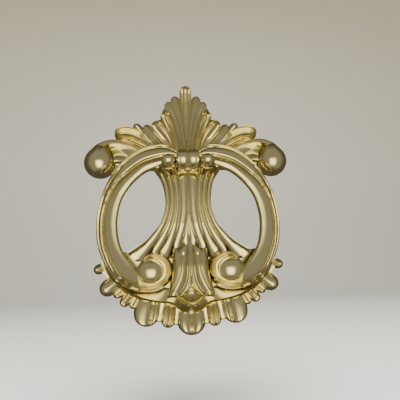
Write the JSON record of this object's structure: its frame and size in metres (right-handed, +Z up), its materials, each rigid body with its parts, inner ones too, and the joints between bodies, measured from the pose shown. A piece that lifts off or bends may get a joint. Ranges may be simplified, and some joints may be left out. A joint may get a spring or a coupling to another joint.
{
  "type": "door knocker",
  "caption": "Cast scroll-and-leaf door knocker: a waisted backplate with a hinged ring that swings on a pin and lands on a strike button.",
  "frame": {"origin": "on the back plane, midway between the two mounting screws, which is the middle of the plate's height and width", "axes": "+Z up the door, from the fringe to the crown of the fan; the front faces -Y and the door lies behind the plate at +Y; +X is to the right of someone facing the knocker"},
  "size_m": [0.1288, 0.072, 0.153],
  "materials": {
    "plated_brass": "polished and lacquered",
    "zinc_steel": "zinc plated"
  },
  "bodies": {
    "plate": {"backplate": "plated_brass", "strike_stud": "plated_brass", "mounting_screw_upper": "zinc_steel", "mounting_screw_lower": "zinc_steel", "washer_upper": "zinc_steel", "washer_lower": "zinc_steel"},
    "ring": {"knocker_ring": "plated_brass", "hinge_pin": "zinc_steel"}
  },
  "joints": [
    {"name": "ring_swing", "type": "hinge", "parent": "plate", "child": "ring", "pos_m": [0, -0.0162, 0.025], "axis": [-1, 0, 0], "range_deg": [0, 70]}
  ]
}
